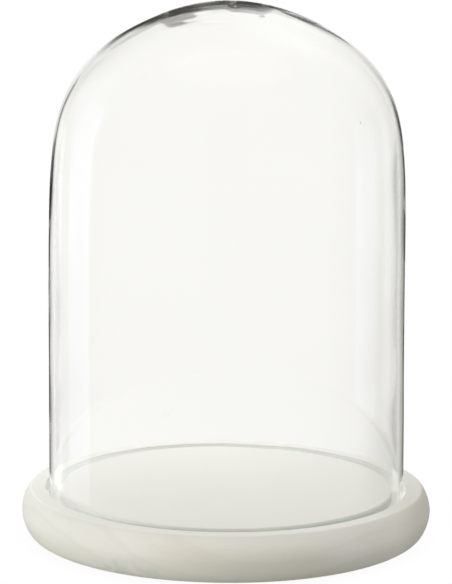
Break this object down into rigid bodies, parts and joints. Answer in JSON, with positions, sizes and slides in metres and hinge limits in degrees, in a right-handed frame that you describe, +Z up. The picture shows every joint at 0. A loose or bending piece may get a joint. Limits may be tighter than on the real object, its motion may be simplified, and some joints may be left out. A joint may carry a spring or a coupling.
{
  "type": "glass cloche",
  "caption": "Tall round-topped clear glass display dome standing in a groove turned into a round whitewashed wooden base with a bulged edge.",
  "frame": {"origin": "centre of the plane the object rests on, at the undersides of the felt pads", "axes": "+Z up, along the axis of the dome and of the turned base; +X and +Y level, the felt pads stand on the diagonals"},
  "size_m": [0.3, 0.3, 0.3918],
  "materials": {
    "clear_glass": "clear, polished, slightly wavy blown glass",
    "whitewashed_wood": "whitewashed, satin, faint grain",
    "felt": "pressed felt"
  },
  "bodies": {
    "base": {"wooden_base": "whitewashed_wood", "felt_pad_1": "felt", "felt_pad_2": "felt", "felt_pad_3": "felt", "felt_pad_4": "felt"},
    "dome": {"glass_dome": "clear_glass"}
  },
  "joints": [
    {"name": "dome_lift", "type": "slide", "parent": "base", "child": "dome", "axis": [0, 0, 1], "range_m": [0, 0.4]}
  ]
}
